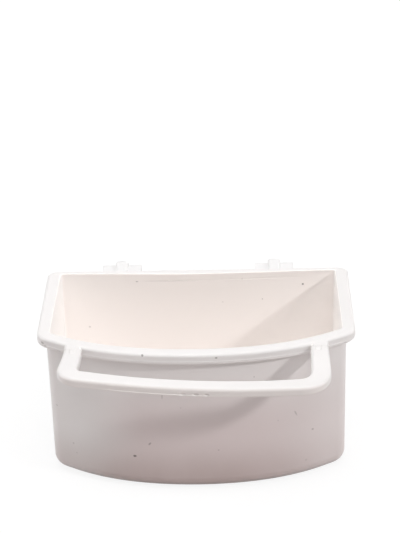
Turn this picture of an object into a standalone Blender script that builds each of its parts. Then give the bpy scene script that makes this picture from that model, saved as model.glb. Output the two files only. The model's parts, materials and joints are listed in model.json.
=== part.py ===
"""Hook-on feed cup with a fold-up front bar, as separate pieces. Metres, +Z up.

The origin is on the underside of the flat base, midway between the front and the back of the mouth.
The bar stands out towards -Y. The back, with its two cage hooks, faces +Y.
"""

from math import atan, atan2, cos, pi, radians, sin, tan

import bmesh
import bpy
from mathutils import Vector

# Fits
GAP = 0.0003  # between pieces that touch, turn or slide on each other

# Cup: the mouth is measured at the top of the inner wall
CUP_HEIGHT = 0.0760
MOUTH_DEPTH = 0.0780  # from the middle of the front to the back wall
MOUTH_WIDTH_FRONT = 0.1371  # between the front corners
MOUTH_WIDTH_BACK = 0.1340
FRONT_BOW = 0.0182  # how far the mouth's front corners stand behind the middle of its front
FRONT_BOW_EXTRA_AT_BASE = 0.0038
FRONT_CORNER_AT_RIM = 0.0030  # of the inner wall; faces further out are rounded about the same centre
FRONT_CORNER_AT_BASE = 0.0070
BACK_CORNER = 0.0012  # of the inner wall, as at the front
BACK_BOW = 0.0019  # how far the middle of the inner back wall's top stands in front of its ends
WALL = 0.0021
FLOOR = 0.0022
DRAFT = radians(0.6)
BASE_ROUND = 0.0070  # outside, between the walls and the base
FLOOR_ROUND = 0.0050  # inside, between the walls and the floor

# Rim: a flange with a lip turned down at its edge, both cut away behind the back wall
RIM_OVERHANG = 0.0043  # past the outer face of the wall
RIM_HEIGHT = 0.0053
RIM_FLANGE = 0.0020
RIM_LIP = 0.0017
RIM_INNER_EDGE = 0.0005
RIM_OUTER_EDGE = 0.0015
RIM_BEHIND_BACK = 0.0004  # what is left of the flange past the back wall's outer face
RIM_BACK_CORNER = 0.0055
RIM_CUT_CLEAR = 0.0002  # the cut's corner outside the rim's side

# Front bar: a flat band bent to a U
ARM_INSET = 0.01595  # from the mouth's front corner to the arm's inner edge, at the hinge
BAR_BAND = 0.0088
BAR_THICKNESS = 0.0041
BAR_TOP_EDGE = 0.0016
BAR_LOWER_EDGE = 0.0008
BAR_REACH = 0.0325  # from the hinge axis to the middle of the bar
BAR_BOW = 0.0061  # how far the bar's middle stands in front of its ends, at the arms
BAR_INNER_CORNER_LEFT = 0.0023
BAR_INNER_CORNER_RIGHT = 0.0052  # bent rounder than the left one
ARM_SPLAY = 0.04  # sideways per metre forwards
BAR_TWIST = radians(3.2)  # set of the old bar out of level, its right end down

# Hinge: a lug on the rim between the two cheeks of each arm's forked end
KNUCKLE_PROUD = 0.0002  # knuckle above and below the arm's faces
KNUCKLE_BELOW_RIM = 0.0001
KNUCKLE_INTO_ARM = 0.0005
LUG_WIDTH = 0.0027
LUG_BELOW_KNUCKLE = 0.0001
PAD_BELOW_KNUCKLE = 0.00025
PAD_PROUD = 0.0003  # stop pad in front of the rim's face
PIN_RADIUS = 0.0009
PIN_INSET = 0.0002  # each end of the pin inside the arm's face

# Cage hooks: a plate held up in two rails, a strap over the wire and a tip behind it
HOOK_BELOW_RIM = 0.0030
HOOK_SPACING = 0.0750
HOOK_WIDTH = 0.0190
HOOK_PLATE = 0.0022
HOOK_PLATE_LENGTH = 0.0250
HOOK_EAR = 0.0020  # plate edge that runs in a rail
HOOK_EAR_RELIEF = 0.00015  # ear thinner than the plate on each side
HOOK_STRAP = 0.0024
HOOK_THROAT = 0.0060
HOOK_TIP_LENGTH = 0.0180
HOOK_BEND = 0.0015
HOOK_THROAT_ROUND = 0.0008
RIB_WIDTH = 0.0060
RIB_HEIGHT = 0.0019
RIB_ROUND = 0.0011
RIB_SUNK = 0.0005
RIB_RUN_OUT = 0.0030  # slope at the rib's lower end
RAIL_LENGTH = 0.0220
RAIL_STEM = 0.0018
RAIL_LIP = 0.0020
RAIL_CAP = 0.0016  # closes a rail above the hook's ear
RAIL_IN_WALL = 0.0010

# Shape of the bowed front: share of the bow that grows with the fourth power of the width
FRONT_SQUARENESS = 0.28

# Steps in rounded stretches
FRONT_STEPS = 12
BACK_STEPS = 6
CORNER_STEPS = 6
EDGE_STEPS = 3
ROUND_STEPS = 4
PIN_SIDES = 16
BAR_STEPS = 16
ARM_STEPS = 6

PLASTIC = (0.86, 0.83, 0.82, 1.0)
STEEL = (0.62, 0.62, 0.61, 1.0)


def material(name, colour, roughness, metallic):
    made = bpy.data.materials.new(name)
    made.use_nodes = True
    shader = made.node_tree.nodes["Principled BSDF"]
    shader.inputs["Base Color"].default_value = colour
    shader.inputs["Roughness"].default_value = roughness
    shader.inputs["Metallic"].default_value = metallic
    return made


def solid(name, points, faces):
    """A mesh object with its faces pointing out."""
    mesh = bpy.data.meshes.new(name)
    mesh.from_pydata(points, [], faces)
    shape = bmesh.new()
    shape.from_mesh(mesh)
    bmesh.ops.recalc_face_normals(shape, faces=shape.faces)
    shape.to_mesh(mesh)
    shape.free()
    made = bpy.data.objects.new(name, mesh)
    bpy.context.scene.collection.objects.link(made)
    return made


def loft(name, rings):
    """A closed body through rings of equally many points, with a flat cap at each end."""
    count = len(rings[0])
    points = [point for ring in rings for point in ring]
    faces = [list(range(count)), list(range(len(points) - count, len(points)))]
    for first in range(0, len(points) - count, count):
        for here in range(count):
            after = (here + 1) % count
            faces.append((first + here, first + after, first + count + after, first + count + here))
    return solid(name, points, faces)


def prism_x(name, side_view, low, high):
    """A side view of (y, z) points drawn out along X."""
    return loft(name, [[(x, y, z) for y, z in side_view] for x in (low, high)])


def prism_z(name, plan, low, high):
    """A plan of (x, y) points drawn out along Z."""
    return loft(name, [[(x, y, z) for x, y in plan] for z in (low, high)])


def block(name, low, high):
    """A box between two corners, given in any order along X."""
    plan = [(low[0], low[1]), (high[0], low[1]), (high[0], high[1]), (low[0], high[1])]
    return prism_z(name, plan, low[2], high[2])


def combine(target, tool, operation):
    """Joins the tool to the target, or cuts it out of the target, and removes the tool."""
    tool.hide_render = True
    tool.display_type = "WIRE"
    change = target.modifiers.new(operation.lower(), "BOOLEAN")
    change.operation = operation
    change.object = tool
    graph = bpy.context.evaluated_depsgraph_get()
    result = bpy.data.meshes.new_from_object(target.evaluated_get(graph))
    target.modifiers.clear()
    target.data = result
    bpy.data.objects.remove(tool)


def finish(piece, look, origin=(0.0, 0.0, 0.0)):
    """Gives a piece its material, smooth round stretches and its origin."""
    mesh = piece.data
    mesh.name = piece.name
    mesh.materials.clear()
    mesh.materials.append(look)
    mesh.shade_smooth()
    mesh.set_sharp_from_angle(angle=radians(35))
    for vertex in mesh.vertices:
        vertex.co -= Vector(origin)
    piece.location = origin


def arc(centre, radius, start, end, steps):
    """Points on an arc in a plane, from one angle to another."""
    angles = [start + (end - start) * step / steps for step in range(steps + 1)]
    return [(centre[0] + radius * cos(a), centre[1] + radius * sin(a)) for a in angles]


def fillet(before, corner, after, radius, steps):
    """Points of the arc that rounds a corner between two straight runs."""
    corner = Vector(corner)
    back = (Vector(before) - corner).normalized()
    on = (Vector(after) - corner).normalized()
    half = back.angle(on) / 2
    centre = corner + (back + on).normalized() * radius / sin(half)
    first = corner + back * radius / tan(half) - centre
    last = corner + on * radius / tan(half) - centre
    start = atan2(first.y, first.x)
    turn = atan2(first.x * last.y - first.y * last.x, first.dot(last))
    return arc(centre, radius, start, start + turn, steps)


def front_rise(half, bow, x):
    """How far the bowed front stands behind its middle at x."""
    u = x / half
    return bow * ((1 - FRONT_SQUARENESS) * u**2 + FRONT_SQUARENESS * u**4)


def front_slope(half, bow, x):
    u = x / half
    return bow / half * (2 * (1 - FRONT_SQUARENESS) * u + 4 * FRONT_SQUARENESS * u**3)


def level(grow, z):
    """Half widths at front and back, front and back y, and bow, of the grown inner wall at a height."""
    grow -= (CUP_HEIGHT - z) * tan(DRAFT)
    half = MOUTH_WIDTH_FRONT / 2
    bow = FRONT_BOW + FRONT_BOW_EXTRA_AT_BASE * (1 - z / CUP_HEIGHT)
    end = atan(front_slope(half, bow, half))
    bow += grow * (1 + tan(end) - 1 / cos(end))
    depth = MOUTH_DEPTH / 2 + grow
    return half + grow, MOUTH_WIDTH_BACK / 2 + grow, -depth, depth, bow


def front_face(x, grow, z=CUP_HEIGHT):
    """y of the bowed front at x."""
    half, _, front, _, bow = level(grow, z)
    return front + front_rise(half, bow, x)


def back_rise(half, grow, x, z):
    """How far the inner back wall stands in front of its ends at x; the outer face is straight."""
    if grow > RIM_INNER_EDGE:
        return 0.0
    return BACK_BOW * (z / CUP_HEIGHT) ** 2 * (1 - (x / half) ** 2) ** 2


def cup_ring(grow, z):
    """The cup's outline at a height: back, back corners, sides, front corners and bowed front."""
    half_front, half_back, front, back, bow = level(grow, z)
    corner = FRONT_CORNER_AT_BASE + (FRONT_CORNER_AT_RIM - FRONT_CORNER_AT_BASE) * z / CUP_HEIGHT
    corner += max(grow, 0.0)
    end = half_front - corner
    slope = front_slope(half_front, bow, end)
    taper = (half_front - half_back) / (front + bow - back)
    # The side meets the front's last tangent here
    tip_y = front + front_rise(half_front, bow, end) + slope * (half_back - end - taper * back)
    tip_y /= 1 - slope * taper
    tip = (half_back + taper * (tip_y - back), tip_y)
    front_end = (end, front + front_rise(half_front, bow, end))
    turn = fillet((0, back), (half_back, back), tip, BACK_CORNER + max(grow, 0.0), ROUND_STEPS)
    right = []
    for step in range(1, BACK_STEPS):
        x = turn[0][0] * step / BACK_STEPS
        right.append((x, back - back_rise(turn[0][0], grow, x, z)))
    right += turn
    right += fillet((half_back, back), tip, front_end, corner, CORNER_STEPS)
    for step in range(FRONT_STEPS):
        x = end * (1 - step / FRONT_STEPS)
        right.append((x, front + front_rise(half_front, bow, x)))
    left = [(-x, y) for x, y in reversed(right)]
    middle = (0.0, back - back_rise(half_back, grow, 0.0, z))
    return [(x, y, z) for x, y in [middle] + right + [(0.0, front)] + left]


def cup_profile():
    """(grow, z) of the cup's wall, from the inner floor over the rim to the base."""
    rim = WALL + RIM_OVERHANG
    under = CUP_HEIGHT - RIM_HEIGHT
    profile = arc((-FLOOR_ROUND, FLOOR + FLOOR_ROUND), FLOOR_ROUND, -pi / 2, 0, ROUND_STEPS)
    profile += arc((RIM_INNER_EDGE, CUP_HEIGHT - RIM_INNER_EDGE), RIM_INNER_EDGE, pi, pi / 2, EDGE_STEPS)
    outer = (rim - RIM_OUTER_EDGE, CUP_HEIGHT - RIM_OUTER_EDGE)
    profile += arc(outer, RIM_OUTER_EDGE, pi / 2, 0, ROUND_STEPS)
    profile += [(rim, under), (rim - RIM_LIP, under)]
    profile += [(rim - RIM_LIP, CUP_HEIGHT - RIM_FLANGE), (WALL, CUP_HEIGHT - RIM_FLANGE)]
    profile += arc((WALL - BASE_ROUND, BASE_ROUND), BASE_ROUND, 0, -pi / 2, ROUND_STEPS)
    return profile


# Places that the pieces share
RIM_WIDTH = WALL + RIM_OVERHANG
KNUCKLE_RADIUS = BAR_THICKNESS / 2 + KNUCKLE_PROUD
LUG_RADIUS = KNUCKLE_RADIUS - LUG_BELOW_KNUCKLE
ARM_EDGE = MOUTH_WIDTH_FRONT / 2 - ARM_INSET
ARM_X = ARM_EDGE + BAR_BAND / 2
PAD_Y = front_face(ARM_EDGE, RIM_WIDTH) - PAD_PROUD
HINGE_Y = PAD_Y - GAP - KNUCKLE_RADIUS
HINGE_Z = CUP_HEIGHT - KNUCKLE_BELOW_RIM - KNUCKLE_RADIUS
BACK_FACE = MOUTH_DEPTH / 2 + WALL
RIM_BACK = BACK_FACE + RIM_BEHIND_BACK
PLATE_FRONT = BACK_FACE + GAP
PLATE_BACK = PLATE_FRONT + HOOK_PLATE
RAIL_BACK = PLATE_BACK + GAP + RAIL_LIP
HOOK_TOP = CUP_HEIGHT - HOOK_BELOW_RIM
RAIL_TOP = HOOK_TOP - HOOK_STRAP
TIP_FRONT = RAIL_BACK + HOOK_THROAT
TIP_BACK = TIP_FRONT + HOOK_STRAP


def add_hinge_lug(cup, side):
    """The stop pad and lug that carry one arm of the bar."""
    x = side * ARM_X
    low, high = sorted((x - BAR_BAND / 2, x + BAR_BAND / 2))
    pad_height = KNUCKLE_RADIUS - PAD_BELOW_KNUCKLE
    plan = [(low, PAD_Y), (high, PAD_Y)]
    plan += [(high, front_face(high, WALL / 2)), (low, front_face(low, WALL / 2))]
    combine(cup, prism_z("pad", plan, HINGE_Z - pad_height, HINGE_Z + pad_height), "UNION")
    in_pad = PAD_Y + PAD_PROUD + RIM_LIP / 2
    lug = arc((HINGE_Y, HINGE_Z), LUG_RADIUS, pi / 2, 3 * pi / 2, 2 * CORNER_STEPS)
    lug += [(in_pad, HINGE_Z - LUG_RADIUS), (in_pad, HINGE_Z + LUG_RADIUS)]
    combine(cup, prism_x("lug", lug, x - LUG_WIDTH / 2, x + LUG_WIDTH / 2), "UNION")
    combine(cup, pin_shape("bore", x, PIN_RADIUS + GAP, BAR_BAND), "DIFFERENCE")


def trim_rim(cup):
    """Cuts the rim off behind the back wall, with round corners, so that the back can lie on a cage."""
    half_front, half_back, front, back, bow = level(RIM_WIDTH, CUP_HEIGHT)
    taper = (half_front - half_back) / (front + bow - back)
    corner = (half_back + taper * (RIM_BACK - back) + RIM_CUT_CLEAR, RIM_BACK)
    ahead = (half_front + RIM_CUT_CLEAR, front + bow)
    bend = fillet(ahead, corner, (0, RIM_BACK), RIM_BACK_CORNER, CORNER_STEPS)
    start = bend[0][1]
    plan = [(MOUTH_WIDTH_FRONT, start)] + bend
    plan += [(-x, y) for x, y in reversed(plan)]
    plan += [(-MOUTH_WIDTH_FRONT, MOUTH_DEPTH), (MOUTH_WIDTH_FRONT, MOUTH_DEPTH)]
    cut = prism_z("rim_cut", plan, CUP_HEIGHT - 2 * RIM_HEIGHT, CUP_HEIGHT + RIM_HEIGHT)
    combine(cup, cut, "DIFFERENCE")


def add_hook_rails(cup, side):
    """Two rails on the outside of the back wall, open below, that hold one hook's plate."""
    middle = side * HOOK_SPACING / 2
    lip_edge = HOOK_WIDTH / 2 + GAP
    stem_edge = lip_edge + HOOK_EAR
    outside = stem_edge + RAIL_STEM
    root = BACK_FACE - RAIL_IN_WALL
    lip_front = PLATE_BACK + GAP
    low = RAIL_TOP - RAIL_LENGTH
    for mirror in (-1, 1):
        near = (middle + mirror * lip_edge, root, low)
        rail = block("rail", near, (middle + mirror * outside, RAIL_BACK, RAIL_TOP))
        far = (middle + mirror * stem_edge, lip_front, RAIL_TOP - RAIL_CAP)
        channel = block("channel", (middle, root - RAIL_IN_WALL, low - RAIL_CAP), far)
        combine(rail, channel, "DIFFERENCE")
        combine(cup, rail, "UNION")


def make_feed_cup(look):
    cup = loft("feed_cup", [cup_ring(grow, z) for grow, z in cup_profile()])
    trim_rim(cup)
    for side in (-1, 1):
        add_hinge_lug(cup, side)
        add_hook_rails(cup, side)
    finish(cup, look)
    return cup


def pin_shape(name, x, radius, length):
    """A round bar along X on the hinge axis."""
    circle = arc((HINGE_Y, HINGE_Z), radius, 0, 2 * pi * (1 - 1 / PIN_SIDES), PIN_SIDES - 1)
    return prism_x(name, circle, x - length / 2, x + length / 2)


def bar_rise(x):
    """How far the bowed bar stands behind its middle at x."""
    return BAR_BOW * (x / ARM_X) ** 2


def bar_half(inner_corner):
    """(x, y) along the middle of the band, from the right hinge to just before the middle of the bar."""
    corner = inner_corner + BAR_BAND / 2
    middle = HINGE_Y - BAR_REACH
    end = ARM_X - 1.5 * corner
    end_y = middle + bar_rise(end)
    slope = 2 * bar_rise(end) / end
    # The arm meets the bar's last tangent here
    tip_x = ARM_X + ARM_SPLAY * (HINGE_Y - end_y + slope * end)
    tip_x /= 1 + ARM_SPLAY * slope
    tip = (tip_x, end_y + slope * (tip_x - end))
    root = (ARM_X, HINGE_Y)
    bend = fillet(root, tip, (end, end_y), corner, CORNER_STEPS)
    right = [(ARM_X, HINGE_Y + KNUCKLE_INTO_ARM)]
    for step in range(ARM_STEPS):
        right.append(tuple(Vector(root).lerp(Vector(bend[0]), step / ARM_STEPS)))
    right += bend
    for step in range(BAR_STEPS // 2):
        x = end * (1 - 2 * step / BAR_STEPS)
        right.append((x, middle + bar_rise(x)))
    return right


def bar_plan():
    """(x, y) along the middle of the band, from the right hinge round to the left one."""
    left = [(-x, y) for x, y in reversed(bar_half(BAR_INNER_CORNER_LEFT))]
    return bar_half(BAR_INNER_CORNER_RIGHT) + [(0.0, HINGE_Y - BAR_REACH)] + left


def band_section():
    """(across, up) points round the band."""
    corners = [(1, 1, BAR_TOP_EDGE), (-1, 1, BAR_TOP_EDGE), (-1, -1, BAR_LOWER_EDGE), (1, -1, BAR_LOWER_EDGE)]
    section = []
    for quarter, (side, rise, edge) in enumerate(corners):
        centre = (side * (BAR_BAND / 2 - edge), rise * (BAR_THICKNESS / 2 - edge))
        start = quarter * pi / 2
        section += arc(centre, edge, start, start + pi / 2, EDGE_STEPS)
    return section


def bar_height(x, y):
    """Height of the twisted band's middle: level at the hinge, out of level at the bar."""
    along = min(max((HINGE_Y - y) / (BAR_REACH - BAR_BOW), 0.0), 1.0)
    return HINGE_Z - x * tan(BAR_TWIST) * along**2 * (3 - 2 * along)


def make_front_bar(look):
    route = [Vector((x, y, bar_height(x, y))) for x, y in bar_plan()]
    rings = []
    for here, point in enumerate(route):
        run = route[min(here + 1, len(route) - 1)] - route[max(here - 1, 0)]
        across = Vector((-run.y, run.x, 0.0)).normalized()
        up = run.cross(across).normalized()
        rings.append([point + across * a + up * u for a, u in band_section()])
    bar = loft("front_bar", rings)
    for side in (-1, 1):
        add_fork(bar, side * ARM_X)
    finish(bar, look, (0.0, HINGE_Y, HINGE_Z))
    return bar


def add_fork(bar, x):
    """The forked end of an arm: a knuckle with a square heel, slotted for the lug and bored for the pin."""
    knuckle = arc((HINGE_Y, HINGE_Z), KNUCKLE_RADIUS, 0, 3 * pi / 2, 3 * CORNER_STEPS)
    knuckle.append((HINGE_Y + KNUCKLE_RADIUS, HINGE_Z - KNUCKLE_RADIUS))
    combine(bar, prism_x("knuckle", knuckle, x - BAR_BAND / 2, x + BAR_BAND / 2), "UNION")
    front = HINGE_Y - LUG_RADIUS - GAP
    behind = HINGE_Y + 2 * KNUCKLE_RADIUS
    half = LUG_WIDTH / 2 + GAP
    plan = [(x - half, front), (x + half, front), (x + half, behind), (x - half, behind)]
    slot = prism_z("slot", plan, HINGE_Z - 2 * KNUCKLE_RADIUS, HINGE_Z + 2 * KNUCKLE_RADIUS)
    combine(bar, slot, "DIFFERENCE")
    combine(bar, pin_shape("bore", x, PIN_RADIUS + GAP, 2 * BAR_BAND), "DIFFERENCE")


def make_hinge_pin(name, x, look):
    pin = pin_shape(name, x, PIN_RADIUS, BAR_BAND - 2 * PIN_INSET)
    finish(pin, look, (x, HINGE_Y, HINGE_Z))
    return pin


def hook_side_view():
    """(y, z) round the plate, the strap and the tip."""
    bottom = HOOK_TOP - HOOK_PLATE_LENGTH
    under = HOOK_TOP - HOOK_STRAP
    tip = HOOK_TOP - HOOK_TIP_LENGTH
    tip_round = HOOK_STRAP / 2
    bend = (TIP_BACK - HOOK_BEND, HOOK_TOP - HOOK_BEND)
    throat = (TIP_FRONT - HOOK_THROAT_ROUND, under - HOOK_THROAT_ROUND)
    view = [(PLATE_BACK, bottom), (PLATE_FRONT, bottom), (PLATE_FRONT, HOOK_TOP)]
    view += arc(bend, HOOK_BEND, pi / 2, 0, ROUND_STEPS)
    view += arc((TIP_FRONT + tip_round, tip + tip_round), tip_round, 0, -pi, 2 * ROUND_STEPS)
    view += arc(throat, HOOK_THROAT_ROUND, 0, pi / 2, ROUND_STEPS)
    return view + [(PLATE_BACK, under)]


def add_hook_ears(hook, x):
    """Edges of the plate that run in the rails."""
    inside = HOOK_WIDTH / 2 - HOOK_EAR
    outside = HOOK_WIDTH / 2 + HOOK_EAR
    front = PLATE_FRONT + HOOK_EAR_RELIEF
    back = PLATE_BACK - HOOK_EAR_RELIEF
    high = RAIL_TOP - RAIL_CAP - GAP
    low = HOOK_TOP - HOOK_PLATE_LENGTH + HOOK_EAR
    for mirror in (-1, 1):
        plan = [(inside, front), (outside, front), (outside, back), (inside, back)]
        placed = [(x + mirror * a, y) for a, y in plan]
        combine(hook, prism_z("ear", placed, low, high), "UNION")


def rib_side_view(height):
    """(y, z) round the rib, which stands this high on the strap and on the back of the tip."""
    start = RIM_BACK + GAP
    end = HOOK_TOP - HOOK_TIP_LENGTH / 2
    bend = (TIP_BACK - HOOK_BEND, HOOK_TOP - HOOK_BEND)
    outer = [(start, HOOK_TOP + height)]
    outer += arc(bend, HOOK_BEND + height, pi / 2, 0, ROUND_STEPS)
    outer += [(TIP_BACK + height, end), (TIP_BACK - RIB_SUNK, end - RIB_RUN_OUT)]
    inner = [(start, HOOK_TOP - RIB_SUNK)]
    inner += arc(bend, HOOK_BEND - RIB_SUNK, pi / 2, 0, ROUND_STEPS)
    return outer + inner[::-1]


def add_hook_rib(hook, x):
    """A round-topped rib along the middle of the strap and down the back of the tip."""
    edge = arc((RIB_WIDTH / 2 - RIB_ROUND, RIB_HEIGHT - RIB_ROUND), RIB_ROUND, 0, pi / 2, EDGE_STEPS)
    across = [(x + a, height) for a, height in edge]
    across += [(x - a, height) for a, height in reversed(edge)]
    rings = [[(place, y, z) for y, z in rib_side_view(height)] for place, height in across]
    combine(hook, loft("rib", rings), "UNION")


def make_cage_hook(name, side, look):
    x = side * HOOK_SPACING / 2
    hook = prism_x(name, hook_side_view(), x - HOOK_WIDTH / 2, x + HOOK_WIDTH / 2)
    add_hook_ears(hook, x)
    add_hook_rib(hook, x)
    finish(hook, look, (x, PLATE_FRONT, HOOK_TOP))
    return hook


def main():
    for left_over in list(bpy.data.objects):
        bpy.data.objects.remove(left_over)
    feeder = bpy.data.objects.new("feeder", None)
    bpy.context.scene.collection.objects.link(feeder)
    cup_plastic = material("cup_plastic", PLASTIC, 0.32, 0.0)
    bar_plastic = material("bar_plastic", PLASTIC, 0.30, 0.0)
    hook_plastic = material("hook_plastic", PLASTIC, 0.34, 0.0)
    pin_steel = material("pin_steel", STEEL, 0.30, 1.0)
    pieces = [make_feed_cup(cup_plastic), make_front_bar(bar_plastic)]
    for side, word in ((-1, "left"), (1, "right")):
        pieces.append(make_hinge_pin("hinge_pin_" + word, side * ARM_X, pin_steel))
        pieces.append(make_cage_hook("cage_hook_" + word, side, hook_plastic))
    for piece in pieces:
        piece.parent = feeder


main()
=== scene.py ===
"""Looks of a hook-on feed cup with a fold-up front bar: fine surfaces, finishes, floor, light and camera.

Metres, +Z up, in the CAD's frame: the bar stands out towards -Y, and the two cage hooks are at the back.
"""

import json
from math import asin, atan, atan2, cos, pi, radians, sin, sqrt, tan

import bmesh
import bpy
from mathutils import Matrix, Vector


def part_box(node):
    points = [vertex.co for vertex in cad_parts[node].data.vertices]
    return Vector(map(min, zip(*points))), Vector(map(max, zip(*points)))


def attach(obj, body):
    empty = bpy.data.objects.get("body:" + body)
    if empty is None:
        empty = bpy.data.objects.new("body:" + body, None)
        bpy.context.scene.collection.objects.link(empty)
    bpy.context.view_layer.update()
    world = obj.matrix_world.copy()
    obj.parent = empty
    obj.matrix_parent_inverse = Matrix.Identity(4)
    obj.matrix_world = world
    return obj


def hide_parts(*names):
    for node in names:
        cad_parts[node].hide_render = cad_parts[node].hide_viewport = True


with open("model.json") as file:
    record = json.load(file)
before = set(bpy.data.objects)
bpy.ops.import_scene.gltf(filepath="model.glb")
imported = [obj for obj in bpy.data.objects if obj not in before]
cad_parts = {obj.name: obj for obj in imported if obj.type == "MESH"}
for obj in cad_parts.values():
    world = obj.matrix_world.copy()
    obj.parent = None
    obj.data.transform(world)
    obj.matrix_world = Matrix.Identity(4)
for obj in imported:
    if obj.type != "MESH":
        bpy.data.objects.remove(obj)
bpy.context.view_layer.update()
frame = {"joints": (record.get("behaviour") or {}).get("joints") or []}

# Places from the frame
HINGE_Y, HINGE_Z = next(j["pos_m"][1:] for j in frame["joints"] if j["name"] == "bar_hinge")
PIN_LOW, PIN_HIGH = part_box("hinge_pin_right")
ARM_X = (PIN_LOW.x + PIN_HIGH.x) / 2
PIN_RADIUS = (PIN_HIGH.z - PIN_LOW.z) / 2
CUP_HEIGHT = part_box("feed_cup")[1].z
RAIL_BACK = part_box("feed_cup")[1].y
HOOK_LOW, HOOK_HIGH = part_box("cage_hook_right")
HOOK_X = (HOOK_LOW.x + HOOK_HIGH.x) / 2
PLATE_FRONT = HOOK_LOW.y

# Fits
GAP = 0.0003
HINGE_GAP = 0.00006  # the hinge's seams, closer than the solids keep

# Cup: the mouth is measured at the top of the inner wall
MOUTH_DEPTH = 0.0780
MOUTH_WIDTH_FRONT = 0.1371
MOUTH_WIDTH_BACK = 0.1340
FRONT_BOW = 0.0182
FRONT_BOW_EXTRA_AT_BASE = 0.0038
FRONT_SQUARENESS = 0.28  # share of the bow that grows with the fourth power of the width
FRONT_CORNER_AT_RIM = 0.0030  # of the inner wall; faces further out are rounded about the same centre
FRONT_CORNER_AT_BASE = 0.0070
BACK_CORNER = 0.0012  # of the inner wall, as at the front
BACK_BOW = 0.0019  # how far the middle of the inner back wall's top stands in front of its ends
WALL = 0.0021
FLOOR = 0.0022
DRAFT = radians(0.6)
BASE_ROUND = 0.0070
FLOOR_ROUND = 0.0050

# Rim: a crowned flange, and a lip with a fine bead where the mould parts, cut away behind the back wall
RIM_OVERHANG = 0.0043
RIM_HEIGHT = 0.0053
RIM_FLANGE = 0.0020
RIM_LIP = 0.0017
RIM_CROWN = 0.00012
RIM_INNER_EDGE = 0.0005
RIM_OUTER_EDGE = 0.0015
BEAD_ABOVE_LIP = 0.0016
BEAD_HALF_HEIGHT = 0.00025
BEAD_PROUD = 0.00012
LIP_EDGE = 0.0009
RIM_BEHIND_BACK = 0.0004
RIM_BACK_CORNER = 0.0055
RIM_BACK_EDGE = 0.0008
RIM_CUT_CLEAR = 0.0002
LIP_INSIDE_EDGE = 0.0003
FLANGE_CREASE = 0.0005

# Marks that the mould leaves
MARK_Y = 0.003  # middle of the base
GATE_RADIUS = 0.0050
GATE_DEPTH = 0.0004
GATE_NUB_RADIUS = 0.0011
GATE_NUB_HEIGHT = 0.0003
GATE_NUB_TAPER = 0.8  # share of the nub's radius that is left at its tip
EJECTOR_RADIUS = 0.0040
EJECTOR_DEPTH = 0.00012
SEAM_BELOW_TOP = 0.0038  # line across the inside of the back wall
SEAM_HALF_HEIGHT = 0.00025
SEAM_DEPTH = 0.00025
SEAM_LEFT = -0.030
SEAM_RIGHT = 0.058

# Front bar
BAR_BAND = 0.0088
BAR_THICKNESS = 0.0041
BAR_TOP_EDGE = 0.0016
BAR_LOWER_EDGE = 0.0006
BAR_LEDGE = 0.00020  # step above the lower front edge, which runs out at both ends
LEDGE_LEFT = -0.052
LEDGE_RIGHT = 0.020
LEDGE_RUN_OUT = 0.020
BAR_REACH = 0.0325
BAR_BOW = 0.0061
LEFT = -1
RIGHT = 1
SIDES = (LEFT, RIGHT)
BAR_INNER_CORNER = {LEFT: 0.0023, RIGHT: 0.0076}  # the used bar is rounder on the right
BOW_END = 1.5  # how far before an arm the bow turns straight, in corner radii
ARM_OUT = {LEFT: 0.0, RIGHT: 0.0006}  # further out than the middle of the solids' pin
ARM_SPLAY = {LEFT: 0.055, RIGHT: 0.012}  # outwards, as a share of the way along the arm
ARM_BAND_AT_HINGE = 0.0084  # the arms widen on their way to the bar's corners
ARM_BAND_AT_CORNER = {LEFT: 0.0094, RIGHT: 0.0097}
ARM_BAND_FROM = 0.030  # from the middle of the bar, where its own width starts to change
ARM_BAND_FULL = 0.055
ARM_END_RUN = 0.0003  # straight and square before the splay starts
BAR_TWIST = radians(3.155)
NICK_PLACES = (-0.0054, 0.0006, 0.0055)  # rubbed nicks along the bar's lower front edge
NICK_LENGTH = 0.0015
NICK_HEIGHT = 0.0008
NICK_DEPTH = 0.0009

# Hinge
LUG_WIDTH = 0.0027
LUG_BELOW_ARM = 0.00005
PIN_INSET = 0.0002
PIN_CHAMFER = 0.0002

# Cage hooks and their rails
HOOK_WIDTH = 0.0190
HOOK_PLATE = 0.0022
HOOK_EAR = 0.0020
HOOK_EAR_RELIEF = 0.00015
HOOK_STRAP = 0.0024
HOOK_TIP_LENGTH = 0.0180
HOOK_BEND = 0.0015
HOOK_THROAT_ROUND = 0.0008
RIB_WIDTH = 0.0060
RIB_HEIGHT = 0.0019
RIB_ROUND = 0.0011
RIB_SUNK = 0.0005
RIB_RUN_OUT = 0.0030
RAIL_LENGTH = 0.0220
RAIL_STEM = 0.0018
RAIL_CAP = 0.0016
RAIL_IN_WALL = 0.0010

# Soft edges of the small mouldings, each tighter than the corners of the outline that it follows
SOFT_CORNER = 0.0005
SOFT_EDGE = 0.00035
FINE_CORNER = 0.0003
FINE_EDGE = 0.00012

# Steps in the fine surfaces
FRONT_STEPS = 40
CORNER_STEPS = 12
BACK_STEPS = 30
SIDE_STEPS = 12
WALL_STEPS = 14
ROUND_STEPS = 10
EDGE_STEPS = 6
CROWN_STEPS = 6
SPOKE_STEPS = 4
BAR_STEPS = 220
ARM_STEPS = 40
FACE_STEPS = 10
PIN_SIDES = 40
SHARP_ANGLE = radians(38)

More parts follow.
